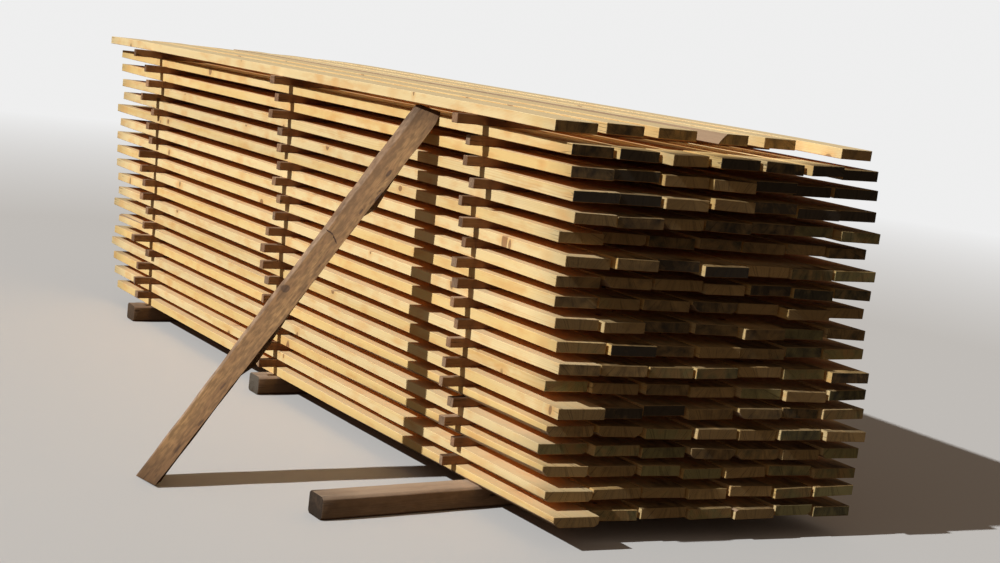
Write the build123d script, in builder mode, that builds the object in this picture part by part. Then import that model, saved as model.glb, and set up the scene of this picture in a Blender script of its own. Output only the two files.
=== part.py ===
import math
import os
import random

from build123d import *

# A stack of sawn softwood boards that dry in open layers, with thin stickers across between the
# layers, bearers on the ground under the stickers and a raking prop against one long side.
# X runs along the boards, and the near end is at +X. Y runs across them, and the prop is at -Y.
# The origin is on the ground, under the middle of the middle bearer. Lengths are millimetres.

# Boards
board_length = 4000
board_thickness = 37
layer_count = 19
stack_width = 1235
boards_per_layer = 7
board_gap = 9
width_spread = 0.1

# Top layer, fewer boards laid further apart and pushed out over the propped side. Each board has
# its own width, and its near end stands out from or back of the line of the ends by its own step.
top_board_widths = (174, 160, 172, 148, 152, 150)
top_board_steps = (-12, -90, -130, -140, -160, -30)
top_overhang = 50

# How the layers are laid. The line of the near ends is askew, and so are the cuts of the lower
# layers, while the layers above them have square ends.
stack_lean = 50
end_batter = 67
end_skew = 190
side_stagger = 5
askew_layer_count = 17
end_stagger = 4

# How far the near ends stand out from the line of the ends, or back of it if below 0, layer by
# layer from the second from the top down, and from the propped side across
near_end_steps = (
    (16, 8, 37, 65, 43, 46, 18),
    (23, 2, 20, 36, 12, -12, 0),
    (53, 26, 46, 64, 34, 20, 7),
    (57, 46, 34, 22, 12, -5, 26),
    (-19, -48, -45, -42, -42, -42, -41),
    (28, 48, 30, 48, 26, 22, 24),
    (-21, -14, -8, -4, 0, 6, 12),
    (-30, -28, -28, -26, -22, 8, -27),
    (-10, 14, -24, -12, 16, -10, -5),
    (-4, 17, -2, 12, -2, -6, -9),
    (26, 20, 14, 12, 8, 2, 30),
    (-47, -36, -20, -12, 8, 14, 23),
    (35, -10, -8, -6, 16, 4, 21),
    (-32, -12, -6, 8, 10, 20, 36),
    (-65, -30, -22, -10, -4, 2, 11),
    (-37, -40, -30, -20, -12, -8, 0),
    (-8, -30, -24, -16, -10, -6, 0),
    (40, -16, -10, -6, 0, -4, -8),
)

# Wane, the round of the log left along the edges of some boards, of more of them low in the stack
low_layer_count = 6
low_waney_share = 0.7
waney_share = 0.2
wane_least = 8
wane_most = 30
log_face_height = 105
log_taper = 0.008
bark_down_share = 0.8

# The waney board of the top layer, counted from the propped side
top_waney_place = 3
top_wane = 50

# Stickers, one row of them at each station along the boards
sticker_width = 40
sticker_thickness = 34
sticker_overhang = 62
sticker_overhang_spread = 32
sticker_stagger = 16
station_count = 3
near_overhang = 620
far_overhang = 440

# Bearers, one below each row of stickers. The nearest one lies a little nearer the end than its
# row does, and reaches out past the propped side.
bearer_width = 100
bearer_height = 80
bearer_arris = 9
bearer_overhang = 90
near_bearer_reach = 600
near_bearer_shift = 110

# Prop, a plank that leans on its flat against the boards, turned a little about its own length,
# with a level foot and a head cut plumb
prop_width = 148
prop_thickness = 28
prop_turn = 8
prop_inset = 975
prop_reach = 905
prop_bearing_height = 46
prop_head_gap = 8

# The same seed always lays the same stack
chance = random.Random(1907)

layer_pitch = board_thickness + sticker_thickness
station_spacing = (board_length - near_overhang - far_overhang) / (station_count - 1)
near_station = station_spacing * (station_count - 1) / 2
near_end = near_station + near_overhang
end_slant = end_skew / stack_width
layers = range(1, layer_count + 1)
stations = range(station_count)
side_shift = {layer: chance.uniform(-side_stagger, side_stagger) for layer in layers}


def layer_bottom(layer):
    return bearer_height + (layer - 1) * layer_pitch


def layer_top(layer):
    return layer_bottom(layer) + board_thickness


def height_share(layer):
    return (layer - 1) / (layer_count - 1)


def layer_sides(layer):
    lean = stack_lean * (0.5 - height_share(layer)) + side_shift[layer]
    left = lean - stack_width / 2
    right = lean + stack_width / 2
    if layer == layer_count:
        left = layer_sides(layer - 1)[0] - top_overhang
    return left, right


def station_x(station):
    return near_station - station * station_spacing


def line_of_ends(layer, middle_y):
    batter = end_batter * (0.5 - height_share(layer))
    return near_end + batter + end_slant * middle_y


def board_places(layer):
    """The width of each board of a layer, the middle of it and the x of its near end."""
    left, right = layer_sides(layer)
    if layer == layer_count:
        widths = top_board_widths
        gap = (right - left - sum(widths)) / (len(widths) - 1)
        steps = top_board_steps
    else:
        gap = board_gap
        shares = [1 + chance.uniform(-width_spread, width_spread) for _ in range(boards_per_layer)]
        sawn_width = right - left - gap * (boards_per_layer - 1)
        widths = [sawn_width * share / sum(shares) for share in shares]
        measured_steps = near_end_steps[layer_count - 1 - layer]
        steps = [step + chance.gauss(0, end_stagger) for step in measured_steps]
    edge = left
    for width, step in zip(widths, steps):
        middle_y = edge + width / 2
        yield width, middle_y, line_of_ends(layer, middle_y) + step
        edge += width + gap


def make_board(width, slant, wane, bark_side, log_offset):
    """A sawn board along X with its middle at the origin. The slant is that of its ends, and a
    wane of 0 leaves it square-edged."""
    thin_end = chance.choice([-1, 1])
    log_length = board_length + 2 * slant * width
    thin_radius = math.hypot(width / 2 - wane + abs(log_offset), log_face_height)
    butt_radius = thin_radius + log_taper * log_length
    log_axis_height = bark_side * (board_thickness / 2 - log_face_height)
    half_length, half_width = board_length / 2, width / 2
    half_slant = slant * half_width
    corners = (
        (half_length + half_slant, half_width),
        (half_slant - half_length, half_width),
        (-half_length - half_slant, -half_width),
        (half_length - half_slant, -half_width),
    )
    with BuildPart() as board:
        with BuildSketch():
            with BuildLine():
                Polyline(*corners, close=True)
            make_face()
        extrude(amount=board_thickness / 2, both=True)
        if wane:
            with Locations((0, log_offset, log_axis_height)):
                Cone(
                    butt_radius,
                    thin_radius,
                    log_length,
                    rotation=(0, 90 * thin_end, 0),
                    mode=Mode.INTERSECT,
                )
    return board.part


def choose_board(layer, place, width):
    """A board for this place in a layer, with or without wane. Above the low layers the outermost
    one on the propped side is square-edged."""
    slant = end_slant if layer <= askew_layer_count else 0
    wane = chance.uniform(wane_least, wane_most)
    share = low_waney_share if layer <= low_layer_count else waney_share
    is_waney = chance.random() < share and (place > 0 or layer <= low_layer_count)
    bark_side = -1 if chance.random() < bark_down_share else 1
    log_offset = chance.uniform(-0.5, 0.5) * wane
    if layer == layer_count:
        is_waney = place == top_waney_place
        wane, bark_side, log_offset = top_wane, 1, top_wane
    return make_board(width, slant, wane if is_waney else 0, bark_side, log_offset)


def make_board_layer(layer):
    with BuildPart() as boards:
        for place, (width, middle_y, end_x) in enumerate(board_places(layer)):
            board = choose_board(layer, place, width)
            middle = (end_x - board_length / 2, middle_y, layer_bottom(layer) + board_thickness / 2)
            with Locations(middle):
                add(board)
    boards.part.label = f"boards_layer_{layer:02d}"
    export_step(boards.part, f"parts/boards_layer_{layer:02d}.step")


def sticker_reach():
    return sticker_overhang + chance.uniform(-sticker_overhang_spread, sticker_overhang_spread)


def make_sticker_layer(layer):
    """The stickers that lie on one layer of boards and carry the next."""
    below, above = layer_sides(layer), layer_sides(layer + 1)
    with BuildPart() as stickers:
        for station in stations:
            left = min(below[0], above[0]) - sticker_reach()
            right = max(below[1], above[1]) + sticker_reach()
            x = station_x(station) + chance.gauss(0, sticker_stagger)
            with Locations((x, (left + right) / 2, layer_top(layer) + sticker_thickness / 2)):
                Box(sticker_width, right - left, sticker_thickness)
    stickers.part.label = f"stickers_layer_{layer:02d}"
    export_step(stickers.part, f"parts/stickers_layer_{layer:02d}.step")


def make_bearer(station):
    left, right = layer_sides(1)
    right += bearer_overhang
    if station == 0:
        left -= near_bearer_reach
        x = station_x(station) + near_bearer_shift
    else:
        left -= bearer_overhang
        x = station_x(station)
    with BuildPart() as bearer:
        with Locations((x, (left + right) / 2, bearer_height / 2)):
            Box(bearer_width, right - left, bearer_height)
        chamfer(bearer.edges().filter_by(Axis.Y), bearer_arris)
    bearer.part.label = f"bearer_{station + 1}"
    export_step(bearer.part, f"parts/bearer_{station + 1}.step")


def make_prop():
    """The head stands against the layer under the top one, tucked below the overhang."""
    seat = layer_sides(layer_count - 1)[0]
    head_top = layer_bottom(layer_count) - prop_head_gap
    heel = head_top - prop_bearing_height
    turn = math.radians(prop_turn)
    depth = prop_width * math.sin(turn) + prop_thickness * math.cos(turn)
    foot = (near_end - prop_inset, seat - prop_reach, 0)
    up_the_plank = (0, prop_reach, heel)
    with BuildPart() as prop:
        with BuildSketch(Plane(origin=foot, x_dir=(1, 0, 0), z_dir=up_the_plank)):
            with Locations((0, -depth / 2)):
                Rectangle(prop_width, prop_thickness, rotation=prop_turn)
        extrude(amount=2 * math.hypot(prop_reach, heel), both=True)
        split(bisect_by=Plane.XY, keep=Keep.TOP)
        split(bisect_by=Plane.XY.offset(head_top), keep=Keep.BOTTOM)
        split(bisect_by=Plane.XZ.offset(-seat), keep=Keep.TOP)
    prop.part.label = "prop"
    export_step(prop.part, "parts/prop.step")


os.makedirs("parts", exist_ok=True)
for layer in layers:
    make_board_layer(layer)
for layer in layers[:-1]:
    make_sticker_layer(layer)
for station in stations:
    make_bearer(station)
make_prop()
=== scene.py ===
import math
import random

import bpy
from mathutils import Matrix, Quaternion, Vector


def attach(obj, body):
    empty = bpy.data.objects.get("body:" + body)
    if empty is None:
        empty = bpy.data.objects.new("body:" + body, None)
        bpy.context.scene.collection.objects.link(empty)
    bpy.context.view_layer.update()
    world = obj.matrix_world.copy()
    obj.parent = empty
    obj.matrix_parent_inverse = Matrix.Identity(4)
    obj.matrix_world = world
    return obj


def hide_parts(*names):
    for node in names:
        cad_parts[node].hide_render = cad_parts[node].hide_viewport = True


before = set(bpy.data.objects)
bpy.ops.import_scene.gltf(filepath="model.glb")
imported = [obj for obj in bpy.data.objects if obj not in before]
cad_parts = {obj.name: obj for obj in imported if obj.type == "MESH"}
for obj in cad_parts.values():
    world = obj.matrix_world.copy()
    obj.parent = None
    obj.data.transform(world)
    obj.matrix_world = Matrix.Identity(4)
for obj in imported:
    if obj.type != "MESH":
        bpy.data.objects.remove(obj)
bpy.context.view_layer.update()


# Bearers
# Squared softwood timbers that lie on the ground, one under each row of stickers. They were sawn
# long ago and have served under other stacks, so they are grey-brown with knocked-off arrises.

bearer_nodes = ("bearer_1", "bearer_2", "bearer_3")
bearer_pale = (196, 162, 130)
bearer_late = (142, 112, 86)
bearer_heart = (166, 130, 100)
bearer_knot = (78, 54, 38)
bearer_weather = (190, 168, 144)
bearer_grime = 0.3
bearer_end = (104, 84, 66)
bearer_end_dark = (60, 50, 42)
bearer_end_moss = (120, 112, 100)
bearer_arris = 0.003
bearer_step = 0.06
bearer_pith, bearer_slope = (0.012, -0.02), (0.003, 0.004)
bearer_wander, bearer_skew = 0.003, 0.006

# What all the timbers share. Points are merged within a distance, faces are made one where they
# are flat within an angle, and edges stay sharp above an angle. Angles are in degrees. Each timber
# starts at a place of its own along a very long log, so that no two look alike.
merge_distance = 0.00001
flat_angle = 0.5
sharp_angle = 28
log_spread = 40
ring_width = 0.0042

chance = random.Random(41)


def only(*objects):
    """Selects these objects and no others. The first one is active."""
    bpy.ops.object.select_all(action="DESELECT")
    for each in objects:
        each.select_set(True)
    bpy.context.view_layer.objects.active = objects[0]


def merged_copy(node, name):
    """A copy of a CAD node's mesh under a new name, its loose triangles joined into whole faces."""
    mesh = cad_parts[node].data.copy()
    mesh.materials.clear()
    timber = bpy.data.objects.new(name, mesh)
    bpy.context.collection.objects.link(timber)
    only(timber)
    bpy.ops.object.mode_set(mode="EDIT")
    bpy.ops.mesh.select_all(action="SELECT")
    bpy.ops.mesh.remove_doubles(threshold=merge_distance)
    bpy.ops.mesh.dissolve_limited(angle_limit=math.radians(flat_angle))
    bpy.ops.mesh.customdata_custom_splitnormals_clear()
    bpy.ops.object.mode_set(mode="OBJECT")
    return timber


def extent(timber, axis):
    """The least and greatest coordinate of a timber along an axis."""
    places = [v.co[axis] for v in timber.data.vertices]
    return min(places), max(places)


def cut_across(timber, axis, spacing):
    """Edges round the timber at even steps along it, so that it can bend."""
    low, high = extent(timber, axis)
    normal = Vector((0, 0, 0))
    normal[axis] = 1
    count = int((high - low) / spacing)
    only(timber)
    bpy.ops.object.mode_set(mode="EDIT")
    for step in range(1, count):
        bpy.ops.mesh.select_all(action="SELECT")
        place = normal * (low + (high - low) * step / count)
        bpy.ops.mesh.bisect(plane_co=place, plane_no=normal)
    bpy.ops.object.mode_set(mode="OBJECT")


def apply(timber, kind, **settings):
    """Adds a modifier with these settings and applies it."""
    only(timber)
    modifier = timber.modifiers.new(kind.title(), kind)
    for name, value in settings.items():
        setattr(modifier, name, value)
    bpy.ops.object.modifier_apply(modifier=modifier.name)


def loose_timbers(pile):
    """Takes a pile of timbers apart, so that each one is an object of its own."""
    only(pile)
    bpy.ops.mesh.separate(type="LOOSE")
    return sorted(bpy.context.selected_objects, key=lambda o: (extent(o, 0)[0], extent(o, 1)[0]))


def join(timbers, name):
    """Puts timbers together in one object, and takes out the slivers left where wane runs out."""
    only(*timbers)
    if len(timbers) > 1:
        bpy.ops.object.join()
    pile = bpy.context.object
    pile.name = name
    bpy.ops.object.mode_set(mode="EDIT")
    bpy.ops.mesh.select_all(action="SELECT")
    bpy.ops.mesh.dissolve_degenerate(threshold=merge_distance)
    bpy.ops.object.mode_set(mode="OBJECT")
    bpy.ops.object.shade_smooth_by_angle(angle=math.radians(sharp_angle))
    return pile


def note_grain(timber, length, across, pith, slope, look, end_look):
    """Writes what the finishes read: where each point lay in its log, along the pith and off it
    in two ways, how far it is from the nearer end, and the looks of the timber and its ends."""
    mesh = timber.data
    ways = length, across, length.cross(across)
    spans = []
    for way in ways:
        places = [v.co.dot(way) for v in mesh.vertices]
        spans.append((min(places), max(places)))
    start = chance.uniform(-log_spread, log_spread)
    mesh.attributes.new("end_distance", "FLOAT", "POINT")
    for name in ("log_place", "timber_look", "end_look"):
        mesh.attributes.new(name, "FLOAT_VECTOR", "POINT")
    grain, reach = mesh.attributes["log_place"], mesh.attributes["end_distance"]
    tones, end_tones = mesh.attributes["timber_look"], mesh.attributes["end_look"]
    for v in mesh.vertices:
        along, side, up = (v.co.dot(w) - (low + high) / 2 for w, (low, high) in zip(ways, spans))
        side += slope[0] * along - pith[0]
        up += slope[1] * along - pith[1]
        grain.data[v.index].vector = (along + start, side, up)
        reach.data[v.index].value = (spans[0][1] - spans[0][0]) / 2 - abs(along)
        tones.data[v.index].vector = look
        end_tones.data[v.index].vector = end_look


def some_look(darkest=0.0, palest=1.0):
    """Three chance shares for a timber or its ends. The last one is how weathered it is."""
    return chance.random(), chance.random(), chance.uniform(darkest, palest)


def hew(timber, length, across, depth, skew):
    """Makes a timber's edges wander inwards, and its end cuts a little askew."""
    long_wave, short_wave, full_turn = 9, 31, 6.28
    height = length.cross(across)
    ways = length, across, height
    spans = []
    for way in ways:
        places = [v.co.dot(way) for v in timber.data.vertices]
        spans.append(((min(places) + max(places)) / 2, (max(places) - min(places)) / 2))
    turns = [chance.uniform(0, full_turn) for _ in range(8)]
    ends = {end: (chance.random(), chance.choice((-1, 1))) for end in (-1, 1)}
    for v in timber.data.vertices:
        along, side, up = (v.co.dot(w) - middle for w, (middle, _) in zip(ways, spans))
        edge = (1 if side > 0 else 0) + (2 if up > 0 else 0)
        wave = 2 + math.sin(long_wave * along + turns[edge])
        wave += math.sin(short_wave * along + turns[edge + 4])
        v.co -= across * (math.copysign(depth, side) * wave / 4)
        if spans[0][1] - abs(along) < skew * 2:
            tilt, way = ends[1 if along > 0 else -1]
            back = skew * tilt * (1 + way * side / spans[1][1]) / 2
            v.co -= length * math.copysign(back, along)


def linear(colour):
    """An sRGB colour from 0 to 255 as the numbers that a shader takes."""
    share = [c / 255 for c in colour]
    return [s / 12.92 if s <= 0.04045 else ((s + 0.055) / 1.055) ** 2.4 for s in share] + [1]


class Value:
    """An output of a finish's nodes. Sums on it add Math nodes."""

    def __init__(self, finish, socket):
        self.finish = finish
        self.socket = socket

    def sum(self, operation, *terms):
        return self.finish.node("Math", {"operation": operation}, dict(enumerate(terms)))

    def __add__(self, other):
        return self.sum("ADD", self, other)

    __radd__ = __add__

    def __sub__(self, other):
        return self.sum("SUBTRACT", self, other)

    def __rsub__(self, other):
        return self.sum("SUBTRACT", other, self)

    def __mul__(self, other):
        return self.sum("MULTIPLY", self, other)

    __rmul__ = __mul__

    def __truediv__(self, other):
        return self.sum("DIVIDE", self, other)

    def output(self, name):
        return Value(self.finish, self.socket.node.outputs[name])


class Finish:
    """A material and its nodes."""

    def __init__(self, name):
        self.material = bpy.data.materials.new(name)
        self.material.use_nodes = True
        self.nodes = self.material.node_tree.nodes
        self.shader = self.nodes["Principled BSDF"]

    def node(self, kind, settings=None, inputs=None, output=0):
        made = self.nodes.new("ShaderNode" + kind)
        for name, value in (settings or {}).items():
            if name == "stops":
                self.set_stops(made.color_ramp, value)
            else:
                setattr(made, name, value)
        self.wire(made, inputs or {})
        return Value(self, made.outputs[output])

    def set_stops(self, ramp, stops):
        while len(ramp.elements) < len(stops):
            ramp.elements.new(1)
        for element, (position, value) in zip(ramp.elements, stops):
            element.position = position
            element.color = (value, value, value, 1)

    def wire(self, node, inputs):
        for name, value in inputs.items():
            if isinstance(value, Value):
                self.material.node_tree.links.new(value.socket, node.inputs[name])
            else:
                node.inputs[name].default_value = value

    def colours(self, share, first, second, blend="MIX"):
        """A mix of two colours, each an sRGB triple or a value."""
        first, second = (c if isinstance(c, Value) else linear(c) for c in (first, second))
        settings = {"data_type": "RGBA", "blend_type": blend}
        return self.node("Mix", settings, {0: share, 6: first, 7: second}, 2)

    def attribute(self, name, output="Vector"):
        return self.node("Attribute", {"attribute_name": name}, output=output)

    def split(self, value):
        """The three parts of a vector."""
        parts = self.node("SeparateXYZ", {}, {0: value})
        return parts, parts.output(1), parts.output(2)

    def grey(self, value):
        return self.node("CombineColor", {}, {0: value, 1: value, 2: value})

    def steps(self, value, *stops):
        """A value remapped through grey stops."""
        return self.node("ValToRGB", {"stops": stops}, {"Fac": value})

    def noise(self, place, scale, detail=2.0):
        return self.node("TexNoise", {}, {"Vector": place, "Scale": scale, "Detail": detail})

    def vector(self, x, y, z):
        return self.node("CombineXYZ", {}, {0: x, 1: y, 2: z})

    def stretched(self, place, along, across):
        """A place scaled along the grain and across it."""
        inputs = {0: place, 1: (along, across, across)}
        return self.node("VectorMath", {"operation": "MULTIPLY"}, inputs)


def off_pith(finish, side, up):
    """How far a place is from the pith of its log, and the way out to it."""
    flat = finish.vector(0.0, side, up)
    radius = finish.node("VectorMath", {"operation": "LENGTH"}, {0: flat}, "Value")
    outward = finish.node("VectorMath", {"operation": "NORMALIZE"}, {0: flat})
    return radius, outward


def off_branch(finish, along, outward, knot_size):
    """How far a place is from the nearest branch, as a multiple of that branch's own size."""
    branch_spread, branches_per_metre = 0.11, 7.5
    shell = finish.node("VectorMath", {"operation": "SCALE"}, {0: outward, 3: branch_spread})
    _, around, about = finish.split(shell)
    place = finish.vector(along, around, about)
    branches = finish.node("TexVoronoi", {}, {"Vector": place, "Scale": branches_per_metre})
    rank = finish.node("SeparateColor", {}, {0: branches.output("Color")})
    return branches / branches_per_metre / (knot_size * (0.3 + 0.9 * rank))


def ring_phase(radius, ring):
    """How far through its year's growth a place is, and a chance share for that year."""
    ring_count = radius / ring
    year = ring_count.finish.node("TexWhiteNoise", {"noise_dimensions": "1D"},
                                  {"W": ring_count.sum("FLOOR", ring_count)})
    return ring_count.sum("FRACT", ring_count), year


def wood(name, pale, late, heart, knot, halo, weather, ring=ring_width, knot_size=0.017,
         grime=0.0, sap=(1.0, (0, 0, 0))):
    """Sawn softwood with its rings, knots, fibres and saw marks, all read from its place in the
    log. It weathers where it faces up, and checks open near its ends. Where it faces down it is
    painted darker and redder, as painted shade that dims the light it passes into the gaps, and
    near its ends its faces, above all the upward ones inside the stack, are painted darker, as
    painted shade in the gaps between layers. The sapwood starts at a radius and has a colour of
    its own."""
    finish = Finish(name)
    place = finish.attribute("log_place")
    along, side, up = finish.split(place)
    tone, redness, weathering = finish.split(finish.attribute("timber_look"))
    from_end = finish.attribute("end_distance", "Fac")
    facing = finish.split(finish.node("NewGeometry", {}, {}, "Normal"))[2]

    radius, outward = off_pith(finish, side, up)
    off_knot = off_branch(finish, along, outward, knot_size)
    knot_mask = finish.steps(off_knot * 0.5, (0.38, 1.0), (0.48, 0.0))
    knot_rim = finish.steps(off_knot * 0.5, (0.32, 0.0), (0.44, 1.0), (0.54, 0.0))
    knot_glow = finish.steps(off_knot * 0.2, (0.15, 1.0), (0.6, 0.0))
    swirl = finish.steps(off_knot * 0.25, (0.0, 1.0), (1.0, 0.0))

    sway = finish.noise(finish.stretched(place, 0.9, 8.0), 1.0)
    ripple = finish.noise(finish.stretched(place, 5.0, 45.0), 1.0)
    wavy_radius = radius + 0.022 * sway + 0.0024 * ripple + 0.009 * swirl * swirl
    phase, year = ring_phase(wavy_radius, ring)
    late_wood = finish.steps(phase, (0.0, 0.35), (0.12, 0.0), (0.45, 0.05), (0.88, 1.0), (1.0, 0.4))
    late_wood = late_wood * (0.3 + 0.7 * year)

    streaks = finish.noise(finish.stretched(place, 1.1, 34.0), 1.0, 3.0)
    fibres = finish.noise(finish.stretched(place, 16.0, 420.0), 1.0, 2.0)
    patches = finish.noise(finish.stretched(place, 1.6, 9.0), 1.0, 3.0)
    mottle = finish.noise(finish.stretched(place, 9.0, 26.0), 1.0, 3.0)
    saw_lines = finish.noise(finish.stretched(place, 210.0, 9.0), 1.0, 1.0)
    saw_waves = finish.noise(finish.stretched(place, 36.0, 3.0), 1.0, 1.0)
    check_lines = finish.noise(finish.stretched(place, 1.5, 42.0), 1.0, 1.0)
    check_lines = check_lines.sum("ABSOLUTE", check_lines - 0.5)
    near_end = finish.steps(from_end / 0.2 + 0.8 * patches, (0.4, 1.0), (0.75, 0.0))
    checks = near_end * finish.steps(check_lines, (0.002, 1.0), (0.012, 0.0))
    specks = finish.noise(finish.stretched(place, 34.0, 70.0), 1.0, 3.0)
    specks = finish.steps(specks * 0.7 + mottle * 0.3, (0.42, 1.0), (0.6, 0.0))

    colour = finish.colours(late_wood * 0.6, pale, late)
    heart_mask = finish.steps(patches + 0.5 * redness - 0.25, (0.40, 0.0), (0.62, 1.0))
    colour = finish.colours(heart_mask * 0.65, colour, heart)
    sapwood = finish.steps((radius + 0.012 * sway) / sap[0], (0.93, 0.0), (0.98, 1.0))
    colour = finish.colours(sapwood * 0.9, colour, sap[1])
    colour = finish.colours(finish.steps(mottle, (0.48, 0.0), (0.68, 1.0)) * 0.5, colour, halo)
    colour = finish.colours(knot_glow * 0.55, colour, halo)
    colour = finish.colours(knot_mask * 0.85, colour, knot)
    colour = finish.colours(knot_rim * 0.6, colour, [c * 0.55 for c in knot])
    shade = 0.74 + 0.22 * tone + 0.24 * streaks + 0.07 * fibres + 0.06 * saw_waves
    shade = shade - grime * (0.5 * patches + 0.5 * specks)
    colour = finish.colours(1.0, colour, finish.grey(shade), "MULTIPLY")
    open_face = finish.steps(facing * 0.5 + 0.5, (0.6, 0.25), (0.95, 1.0))
    worn = finish.steps(patches * 0.5 + streaks * 0.4 + weathering * 0.5, (0.45, 0.0), (0.85, 1.0))
    colour = finish.colours(worn * open_face * 0.85, colour, weather)
    # Painted shade: faces that look down are made darker and redder, so that the gaps between layers
    # stay dim.
    underside_shade = finish.steps(facing * 0.5 + 0.5, (0.05, 1.0), (0.3, 0.0))
    colour = finish.colours(underside_shade * 0.75, colour, [c * k for c, k in zip(late, (0.9, 0.6, 0.35))])
    # Painted shade: near the ends all faces are darkened a little, and the upward faces of the
    # inner, unweathered boards much more, where the layers above shade them.
    end_gap_shade = finish.steps(from_end / 0.26 + 0.7 * mottle, (0.45, 1.0), (1.0, 0.0))
    end_gap_shade = end_gap_shade * (0.25 + 0.75 * open_face * (1 - 1.6 * weathering))
    colour = finish.colours(end_gap_shade, colour, [c * 0.42 for c in late])
    colour = finish.colours(checks * 0.8, colour, [c * 0.4 for c in knot])

    height = 0.5 * fibres + 0.35 * saw_lines + 0.6 * saw_waves + 0.25 * late_wood + 0.3 * knot_mask
    height = height - 1.2 * checks
    bump = finish.node("Bump", {}, {"Strength": 0.8, "Distance": 0.0012, "Height": height}, "Normal")
    rough = 0.72 + 0.14 * streaks - 0.1 * knot_mask
    finish.wire(finish.shader, {"Base Color": colour, "Roughness": rough, "Normal": bump})
    finish.shader.inputs["Specular IOR Level"].default_value = 0.3
    return finish.material


def end_grain(name, brown, dark, mossy):
    """Sawn ends, where the rings show as arcs and the weather has drawn dirt into the pores."""
    finish = Finish(name)
    place = finish.attribute("log_place")
    _, side, up = finish.split(place)
    tone, moss, soot_share = finish.split(finish.attribute("end_look"))

    radius, outward = off_pith(finish, side, up)
    sway = finish.noise(finish.stretched(place, 2.0, 14.0), 1.0)
    phase, _ = ring_phase(radius + 0.006 * sway, ring_width)
    late_wood = finish.steps(phase, (0.0, 0.3), (0.15, 0.0), (0.5, 0.1), (0.9, 1.0), (1.0, 0.3))

    rays = finish.noise(finish.stretched(outward, 1.0, 26.0), 1.0, 3.0)
    ray_edge = rays.sum("ABSOLUTE", rays - 0.5)
    shakes = finish.steps(ray_edge, (0.0, 1.0), (0.016, 0.0))
    blotches = finish.noise(finish.stretched(place, 9.0, 24.0), 1.0, 3.0)
    pores = finish.noise(finish.stretched(place, 90.0, 420.0), 1.0, 2.0)
    saw_cuts = finish.noise(finish.vector(0.0, 12.0 * side, 160.0 * up), 1.0, 1.0)

    colour = finish.colours(late_wood * 0.45, brown, [c * 0.7 for c in brown])
    moss_mask = finish.steps(moss + 0.6 * blotches, (0.85, 0.0), (1.15, 1.0))
    colour = finish.colours(moss_mask * 0.75, colour, mossy)
    soot = finish.steps(blotches * 0.8 + soot_share * 0.9, (0.55, 0.0), (1.05, 1.0))
    colour = finish.colours(soot * 0.92, colour, dark)
    colour = finish.colours(shakes * 0.7, colour, [c * 0.35 for c in dark])
    shade = 0.72 + 0.34 * tone + 0.2 * pores
    colour = finish.colours(1.0, colour, finish.grey(shade), "MULTIPLY")

    height = 0.5 * pores + 0.3 * late_wood - 0.8 * shakes + 0.3 * blotches + 0.3 * saw_cuts
    bump = finish.node("Bump", {}, {"Strength": 0.9, "Distance": 0.0012, "Height": height}, "Normal")
    rough = 0.82 + 0.12 * pores
    finish.wire(finish.shader, {"Base Color": colour, "Roughness": rough, "Normal": bump})
    finish.shader.inputs["Specular IOR Level"].default_value = 0.2
    return finish.material


def paint_ends(timber, length, face_finish, end_finish):
    """Gives the sawn ends their own finish."""
    end_share = 0.8
    timber.data.materials.append(face_finish)
    timber.data.materials.append(end_finish)
    for face in timber.data.polygons:
        face.material_index = 1 if abs(face.normal.dot(length)) > end_share else 0


old_sawn = wood("old_sawn_timber", bearer_pale, bearer_late, bearer_heart, bearer_knot,
                bearer_late, bearer_weather, grime=bearer_grime)
old_ends = end_grain("old_timber_ends", bearer_end, bearer_end_dark, bearer_end_moss)
lengthways, crossways = Vector((1, 0, 0)), Vector((0, 1, 0))

for node in bearer_nodes:
    bearer = merged_copy(node, "weathered_" + node)
    apply(bearer, "BEVEL", width=bearer_arris, segments=2, limit_method="ANGLE")
    cut_across(bearer, 1, bearer_step)
    note_grain(bearer, crossways, lengthways, bearer_pith, bearer_slope,
               some_look(0.4), some_look())
    hew(bearer, crossways, lengthways, bearer_wander, bearer_skew)
    paint_ends(bearer, crossways, old_sawn, old_ends)
    bearer = join([bearer], "weathered_" + node)
    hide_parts(node)
    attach(bearer, "root")


# Boards
# Green softwood boards from the frame saw, laid in layers with their ends left as they come. They
# are pale yellow on the sawn faces, and the open ends have darkened. Some keep the log's wane.

board_layers = 19
board_pale = (252, 226, 168)
board_late = (228, 180, 110)
board_heart = (244, 200, 112)
board_knot = (146, 88, 46)
board_halo = (232, 168, 88)
board_bleached = (236, 214, 168)
board_end = (184, 152, 102)
board_dark = (60, 57, 53)
board_olive = (148, 146, 100)
wane_skin = (192, 162, 130)
wane_bark = (112, 82, 60)
board_arris = 0.0014
board_step = 0.12
board_wander, board_skew = 0.0012, 0.004
pith_aside, pith_depths = 0.05, (0.03, 0.12)
bark_height = 0.105
board_slopes = (0.004, 0.009)
stack_half_width = 0.6

# The outer rows of stickers lie at the row reach from the middle, and past them the ends are free
row_reach = 1.47
open_end_reach = 0.62
bow_reach = 2.1
most_bow, most_lift, most_twist = 0.0025, 0.005, 0.025

# Board ends that stand out, each by its layer and its place in it from the propped side. The ends
# of the layers just under the top one are black but for the clean ones.
black_layers = (16, 17, 18)
clean_ends = ((18, 3), (17, 3), (17, 4), (16, 3), (16, 4), (10, 2), (9, 4))
black_ends = ((13, 3), (13, 4), (12, 1), (10, 3), (9, 2), (9, 3), (6, 2), (6, 3), (6, 4))
clean_look = (0.5, 0.3, 0.1)


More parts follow.
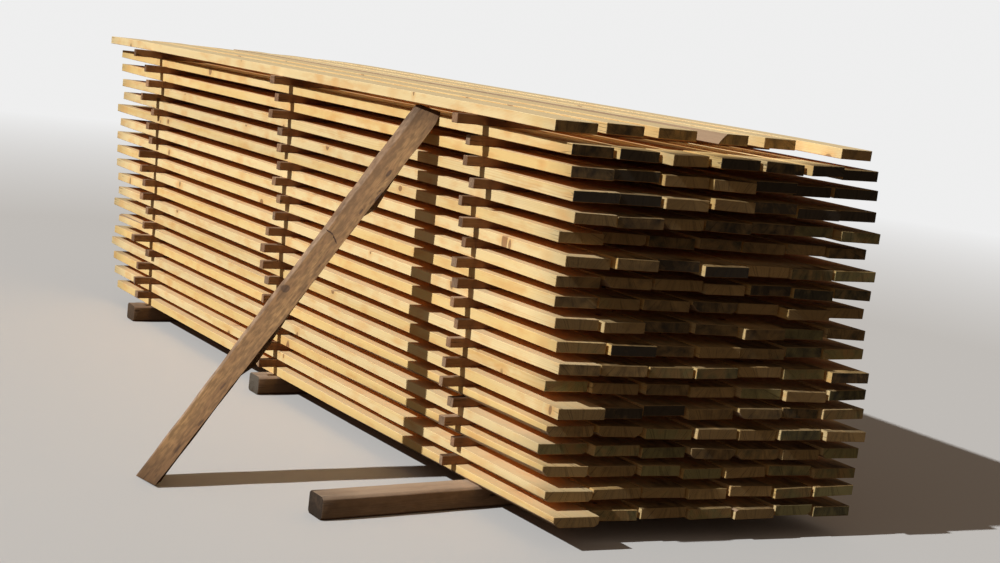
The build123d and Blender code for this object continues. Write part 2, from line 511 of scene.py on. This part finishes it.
def log_side(name, skin, bark):
    """The round of the log, with the bast dried on it and rags of bark left."""
    finish = Finish(name)
    place = finish.attribute("log_place")
    rags = finish.noise(finish.stretched(place, 7.0, 24.0), 1.0, 4.0)
    fibres = finish.noise(finish.stretched(place, 20.0, 300.0), 1.0, 2.0)
    patches = finish.noise(finish.stretched(place, 2.0, 20.0), 1.0, 2.0)
    bark_mask = finish.steps(rags, (0.64, 0.0), (0.68, 1.0))
    colour = finish.colours(patches, skin, [c * 0.8 for c in skin])
    colour = finish.colours(fibres * 0.35, colour, bark)
    colour = finish.colours(bark_mask, colour, bark)
    height = fibres * 0.4 + bark_mask
    bump = finish.node("Bump", {}, {"Strength": 0.8, "Distance": 0.0015, "Height": height}, "Normal")
    rough = 0.7 + 0.2 * bark_mask
    finish.wire(finish.shader, {"Base Color": colour, "Roughness": rough, "Normal": bump})
    finish.shader.inputs["Specular IOR Level"].default_value = 0.3
    return finish.material


def warp(board, is_top):
    """Lets a board bow sideways between its rests, and lift, droop and twist past them. A board
    of the top layer only droops, and stays below the top of the stack."""
    bow = chance.uniform(-most_bow, most_bow)
    lifts = {side: chance.uniform(-most_lift, most_lift) for side in (-1, 1)}
    twists = {side: chance.uniform(-most_twist, most_twist) for side in (-1, 1)}
    middle = sum(extent(board, 1)) / 2
    for v in board.data.vertices:
        side = math.copysign(1, v.co.x)
        past = max(0, abs(v.co.x) - row_reach) / open_end_reach
        rise = (lifts[side] + twists[side] * (v.co.y - middle)) * past * past
        if is_top:
            rise = -abs(lifts[side]) * past * past - abs(rise) * 0.5
        v.co.z += rise
        v.co.y += bow * (1 - (v.co.x / bow_reach) ** 2)


def mark_faces(board, face_finish, end_finish, wane_finish):
    """Gives the sawn faces, the ends and the wane their finishes. Says which way the wane faces:
    1 up, -1 down, or 0 where there is none."""
    for finish in (face_finish, end_finish, wane_finish):
        board.data.materials.append(finish)
    end_share, square_share, least_area = 0.7, 0.998, 0.00001
    wane_way = 0
    for face in board.data.polygons:
        squareness = max(abs(face.normal.y), abs(face.normal.z))
        if abs(face.normal.x) > end_share:
            face.material_index = 1
        elif squareness < square_share:
            face.material_index = 2
            wane_way += face.normal.z * face.area
    return 0 if abs(wane_way) < least_area else math.copysign(1, wane_way)


def place_in_log(wane_way):
    """Where a board's middle lay off the pith, and how askew to it. A waney one was outermost."""
    pith_drop = chance.uniform(*pith_depths) * chance.choice((-1, 1))
    if wane_way:
        pith_drop = -bark_height * wane_way
    pith = (chance.uniform(-pith_aside, pith_aside), pith_drop)
    slope = [chance.uniform(-most, most) for most in board_slopes]
    return pith, slope


def face_look(layer, place):
    """The look of a board's faces. They are paler low down, partly a paler tone of their own and
    partly painted light that stands in for light bounced up from the ground. The top layer has
    bleached in the sun, and so have the outermost boards, a little."""
    tone, redness, weathering = some_look(0.5, 0.65) if place == 1 else some_look(0.0, 0.25)
    if layer == board_layers:
        return some_look(0.75, 1.0)
    # Painted light in part: lower layers get a paler tone in place of light bounced up from the
    # ground.
    low_share = 1 - layer / board_layers
    return min(1, tone + 0.4 * low_share), redness, weathering


def ends_look(layer, place, middle_y):
    """The look of a board's ends. They are blacker high up, and mossier low down and on the side
    away from the prop."""
    if layer == board_layers:
        return 0.7, 0.1, chance.uniform(0.1, 0.6)
    low_share = 1 - layer / board_layers
    side_share = middle_y / stack_half_width
    soot = 0.55 - 0.5 * low_share + 0.15 * side_share + chance.uniform(-0.4, 0.25)
    if layer in black_layers or (layer, place) in black_ends:
        soot += 0.4
    moss = chance.random() * (0.55 + 0.5 * low_share) + 0.2 * side_share
    look = (chance.random(), moss, soot)
    return clean_look if (layer, place) in clean_ends else look


fresh_sawn = wood("fresh_sawn_board", board_pale, board_late, board_heart, board_knot,
                  board_halo, board_bleached)
fresh_ends = end_grain("darkened_board_ends", board_end, board_dark, board_olive)
fresh_wane = log_side("waney_board_edge", wane_skin, wane_bark)

for layer in range(1, board_layers + 1):
    node = f"boards_layer_{layer:02d}"
    boards = loose_timbers(merged_copy(node, "sawn_" + node))
    places = sorted(boards, key=lambda board: extent(board, 1)[0])
    for board in boards:
        place = places.index(board) + 1
        wane_way = mark_faces(board, fresh_sawn, fresh_ends, fresh_wane)
        apply(board, "BEVEL", width=board_arris, segments=1, limit_method="ANGLE")
        cut_across(board, 0, board_step)
        pith, slope = place_in_log(wane_way)
        look = face_look(layer, place)
        end_look = ends_look(layer, place, sum(extent(board, 1)) / 2)
        note_grain(board, lengthways, crossways, pith, slope, look, end_look)
        hew(board, lengthways, crossways, board_wander, board_skew)
        warp(board, layer == board_layers)
    pile = join(boards, "sawn_" + node)
    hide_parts(node)
    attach(pile, "root")


# Stickers
# Thin sawn sticks laid across between the layers in rows over the bearers, so that air can pass.
# They are used year after year and are dark brown, with paler ends where they stand out.

sticker_layers = 18
sticker_pale = (188, 138, 96)
sticker_late = (138, 94, 62)
sticker_heart = (158, 108, 72)
sticker_knot = (80, 52, 34)
sticker_weather = (176, 150, 124)
sticker_grime = 0.25
sticker_end = (192, 150, 114)
sticker_end_dark = (124, 94, 72)
sticker_end_moss = (156, 132, 108)
sticker_ring_width, sticker_knot_size = 0.0034, 0.01
sticker_arris = 0.0014
sticker_step = 0.08
sticker_wander, sticker_skew = 0.0015, 0.006
most_pith, most_slope = 0.05, 0.01
narrowest_share, most_askew = 0.7, 0.006

old_stick = wood("seasoned_stick", sticker_pale, sticker_late, sticker_heart, sticker_knot,
                 sticker_late, sticker_weather, ring=sticker_ring_width,
                 knot_size=sticker_knot_size, grime=sticker_grime)
stick_ends = end_grain("seasoned_stick_ends", sticker_end, sticker_end_dark, sticker_end_moss)


def trim_stick(stick):
    """Sticks differ in width and don't lie quite square to the boards."""
    share = chance.uniform(narrowest_share, 1.0)
    skew = chance.uniform(-most_askew, most_askew)
    middle = [sum(extent(stick, axis)) / 2 for axis in (0, 1)]
    for v in stick.data.vertices:
        off = (v.co.x - middle[0]) * share + skew * (v.co.y - middle[1])
        v.co.x = middle[0] + off


for layer in range(1, sticker_layers + 1):
    node = f"stickers_layer_{layer:02d}"
    sticks = loose_timbers(merged_copy(node, "dark_" + node))
    for stick in sticks:
        apply(stick, "BEVEL", width=sticker_arris, segments=1, limit_method="ANGLE")
        cut_across(stick, 1, sticker_step)
        paint_ends(stick, crossways, old_stick, stick_ends)
        pith = [chance.uniform(-most_pith, most_pith) for _ in range(2)]
        slope = [chance.uniform(-most_slope, most_slope) for _ in range(2)]
        note_grain(stick, crossways, lengthways, pith, slope, some_look(), some_look(0.0, 0.6))
        hew(stick, crossways, lengthways, sticker_wander, sticker_skew)
        trim_stick(stick)
    pile = join(sticks, "dark_" + node)
    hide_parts(node)
    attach(pile, "root")


# Prop
# A weathered plank that leans on its flat against one long side, with its foot on the ground and
# its head under the overhang of the top layer. It has greyed and twisted in the open, and a
# short split runs across it at mid height.

prop_pale = (184, 142, 92)
prop_late = (128, 90, 58)
prop_heart = (150, 108, 70)
prop_knot = (84, 56, 38)
prop_grey = (134, 104, 76)
prop_sap, prop_sap_radius = (212, 178, 146), 0.122
prop_grime = 0.75
prop_knot_size = 0.024
prop_bark_skin, prop_bark_rags = (96, 66, 46), (48, 32, 24)
# The inside of the split is painted dark, as painted shade in the crack.
split_shade_colour = (84, 56, 38)
prop_arris = 0.003
prop_step = 0.04
prop_pith, prop_slope = (0.05, -0.06), (-0.012, 0.012)
prop_look = (0.5, 0.5, 0.3)
prop_wander = 0.006
prop_wane = 0.036

# How the plank leans and turns. The barky stretches are measured up it from its foot, and the
# apex of the split is a point of its face. Angles are in degrees.
prop_run, prop_climb = 0.905, 1.304
prop_turn = 8
edge_depth = 0.01
edge_share = 0.8
barky_stretches = ((0.5, 0.8), (1.19, 1.45))
head_twist, foot_twist = 9, -6
split_apex = (1.1172, -0.9882, 0.8712)
split_tilt = -16
split_radius = 0.16
split_depth = 0.0026
split_arc_share = 0.95


def twist(plank, rise, head_turn, foot_turn):
    """Turns a plank about its own length, more and more towards its head and its foot. The foot
    stays level on the ground, and the head stays flush with what it stands against."""
    level_within = 0.0001
    lows, highs = zip(*(extent(plank, axis) for axis in range(3)))
    lowest = [v.co for v in plank.data.vertices if v.co.z < lows[2] + level_within]
    foot = sum(lowest, Vector()) / len(lowest)
    reach = (highs[2] - lows[2]) / rise.z
    for v in plank.data.vertices:
        along = (v.co - foot).dot(rise)
        share = min(1, max(0, along / reach))
        centre = foot + rise * along
        turn = math.radians(foot_turn + (head_turn - foot_turn) * share)
        v.co = centre + Quaternion(rise, turn) @ (v.co - centre)
        v.co.y = min(v.co.y, highs[1])
        v.co.z = min(max(v.co.z, 0), highs[2])


def undercut(plank, rise, across, out, wane, stretches):
    """Slopes the +X edge of a plank inwards below its face, as the round of the log left it. Along
    each stretch the edge comes back to square, and then breaks off."""
    places = [[v.co.dot(way) for v in plank.data.vertices] for way in (rise, across, out)]
    edge, face, back = max(places[1]), max(places[2]), min(places[2])
    for v, along, side, up in zip(plank.data.vertices, *places):
        depth = (face - up) / (face - back)
        share = 1
        for low, high in stretches:
            if low < along - min(places[0]) < high:
                share = (along - min(places[0]) - low) / (high - low)
        if side > edge - edge_depth:
            v.co -= across * (wane * share * depth)


def open_split(plank, apex, chord, out, inside):
    """Cuts a short curved groove into a face of a plank, a piece of a thin ring. The groove's
    faces take a dark finish, painted shade for the inside of the crack.
    """
    bpy.ops.object.select_all(action="DESELECT")
    bpy.ops.mesh.primitive_torus_add(major_segments=96, minor_segments=6,
                                     major_radius=split_radius, minor_radius=split_depth)
    cutter = bpy.context.object
    bpy.ops.object.mode_set(mode="EDIT")
    bpy.ops.mesh.select_all(action="SELECT")
    bpy.ops.mesh.bisect(plane_co=(0, split_radius * split_arc_share, 0), plane_no=(0, 1, 0),
                        use_fill=True, clear_inner=True)
    bpy.ops.object.mode_set(mode="OBJECT")
    for v in cutter.data.vertices:
        x, y, z = v.co
        v.co = Vector(apex) + chord * x + out.cross(chord) * (y - split_radius) + out * z
    for material in list(plank.data.materials) + [inside]:
        cutter.data.materials.append(material)
    for face in cutter.data.polygons:
        face.material_index = len(plank.data.materials)
    plank.data.materials.append(inside)
    apply(plank, "BOOLEAN", operation="DIFFERENCE", solver="EXACT", object=cutter)
    bpy.data.objects.remove(cutter)


prop_sawn = wood("greyed_plank", prop_pale, prop_late, prop_heart, prop_knot, prop_late,
                 prop_grey, knot_size=prop_knot_size, grime=prop_grime,
                 sap=(prop_sap_radius, prop_sap))
prop_bark = log_side("bark_edge_of_plank", prop_bark_skin, prop_bark_rags)
# Painted shade: the split's faces are dark brown with rags, in place of the shadow inside the crack.
split_shade_finish = log_side("painted_shade_in_split", split_shade_colour, prop_bark_rags)
prop = merged_copy("prop", "greyed_prop")
rise = Vector((0, prop_run, prop_climb)).normalized()
across = Quaternion(rise, math.radians(prop_turn)) @ lengthways
out = across.cross(rise)
paint_ends(prop, rise, prop_sawn, old_ends)
prop.data.materials.append(prop_bark)
for face in prop.data.polygons:
    if face.normal.dot(across) > edge_share:
        face.material_index = 2
apply(prop, "BEVEL", width=prop_arris, segments=2, limit_method="ANGLE")
cut_across(prop, 2, prop_step)
undercut(prop, rise, across, out, prop_wane, barky_stretches)
open_split(prop, split_apex, Quaternion(out, math.radians(split_tilt)) @ across, out, split_shade_finish)
note_grain(prop, rise, across, prop_pith, prop_slope, prop_look, some_look())
hew(prop, rise, across, prop_wander, 0.0)
twist(prop, rise, head_twist, foot_twist)
prop = join([prop], "greyed_prop")
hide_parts("prop")
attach(prop, "root")


# Studio
# A plain pale floor that fades out into the background, one soft lamp from high on the propped
# side, an even pale sky, and the camera at the spot from which the stack is seen.

floor_radius, fade_reach = 60, 14.0
floor_colour = (214, 214, 212)
floor_reflects = (62, 53, 40)
background_strength = 0.86
lamp_strength = 3.2
lamp_travel = (0.11, 1.0, -0.80)
lamp_softness = 1
sky_strength = 0.155
sky_warmth = (1.02, 0.78, 0.60, 1)
camera_place = (5.924, -3.598, 1.610)
camera_aim = (-0.81089, 0.56531, -0.15128)
camera_roll = 7.05
camera_lens = 56.0

bpy.ops.object.select_all(action="DESELECT")
bpy.ops.mesh.primitive_circle_add(vertices=96, radius=floor_radius, fill_type="NGON")
floor = bpy.context.object
floor.name = "studio_floor"
ground = Finish("pale_floor")
spot = ground.node("TexCoord", {}, {}, "Object")
distance = ground.node("VectorMath", {"operation": "LENGTH"}, {0: spot}, "Value")
far = ground.steps(distance / fade_reach, (0.35, 0.0), (1.0, 1.0))
seen = ground.node("LightPath", {}, {}, "Is Camera Ray")
ground_colour = ground.colours(seen, floor_reflects, floor_colour)
glow = ground.node("Emission", {}, {"Strength": background_strength})
plain = Value(ground, ground.shader.outputs[0])
mixed = ground.node("MixShader", {}, {0: far * seen, 1: plain, 2: glow})
ground.wire(ground.nodes["Material Output"], {"Surface": mixed})
ground.wire(ground.shader, {"Base Color": ground_colour})
ground.shader.inputs["Roughness"].default_value = 0.9
floor.data.materials.append(ground.material)

bpy.ops.object.light_add(type="SUN", location=(0, -3, 4))
lamp = bpy.context.object
lamp.rotation_euler = Vector(lamp_travel).to_track_quat("-Z", "Y").to_euler()
lamp.data.energy = lamp_strength
lamp.data.angle = math.radians(lamp_softness)

world = bpy.data.worlds.new("studio_sky")
world.use_nodes = True
bpy.context.scene.world = world
sky = world.node_tree.nodes["Background"]
path = world.node_tree.nodes.new("ShaderNodeLightPath")
pick = world.node_tree.nodes.new("ShaderNodeMix")
pick.inputs[2].default_value = sky_strength
pick.inputs[3].default_value = background_strength
world.node_tree.links.new(path.outputs["Is Camera Ray"], pick.inputs[0])
world.node_tree.links.new(pick.outputs[0], sky.inputs["Strength"])
tint = world.node_tree.nodes.new("ShaderNodeMix")
tint.data_type = "RGBA"
tint.inputs[6].default_value = sky_warmth
tint.inputs[7].default_value = (1, 1, 1, 1)
world.node_tree.links.new(path.outputs["Is Camera Ray"], tint.inputs[0])
world.node_tree.links.new(tint.outputs[2], sky.inputs["Color"])

bpy.ops.object.camera_add(location=camera_place)
camera = bpy.context.object
aim = Vector(camera_aim).to_track_quat("-Z", "Y")
camera.rotation_euler = (aim @ Quaternion((0, 0, 1), math.radians(camera_roll))).to_euler()
camera.data.lens = camera_lens
camera.data.sensor_width = 36
camera.data.clip_end = 200
bpy.context.scene.camera = camera
bpy.context.scene.view_settings.view_transform = "Standard"
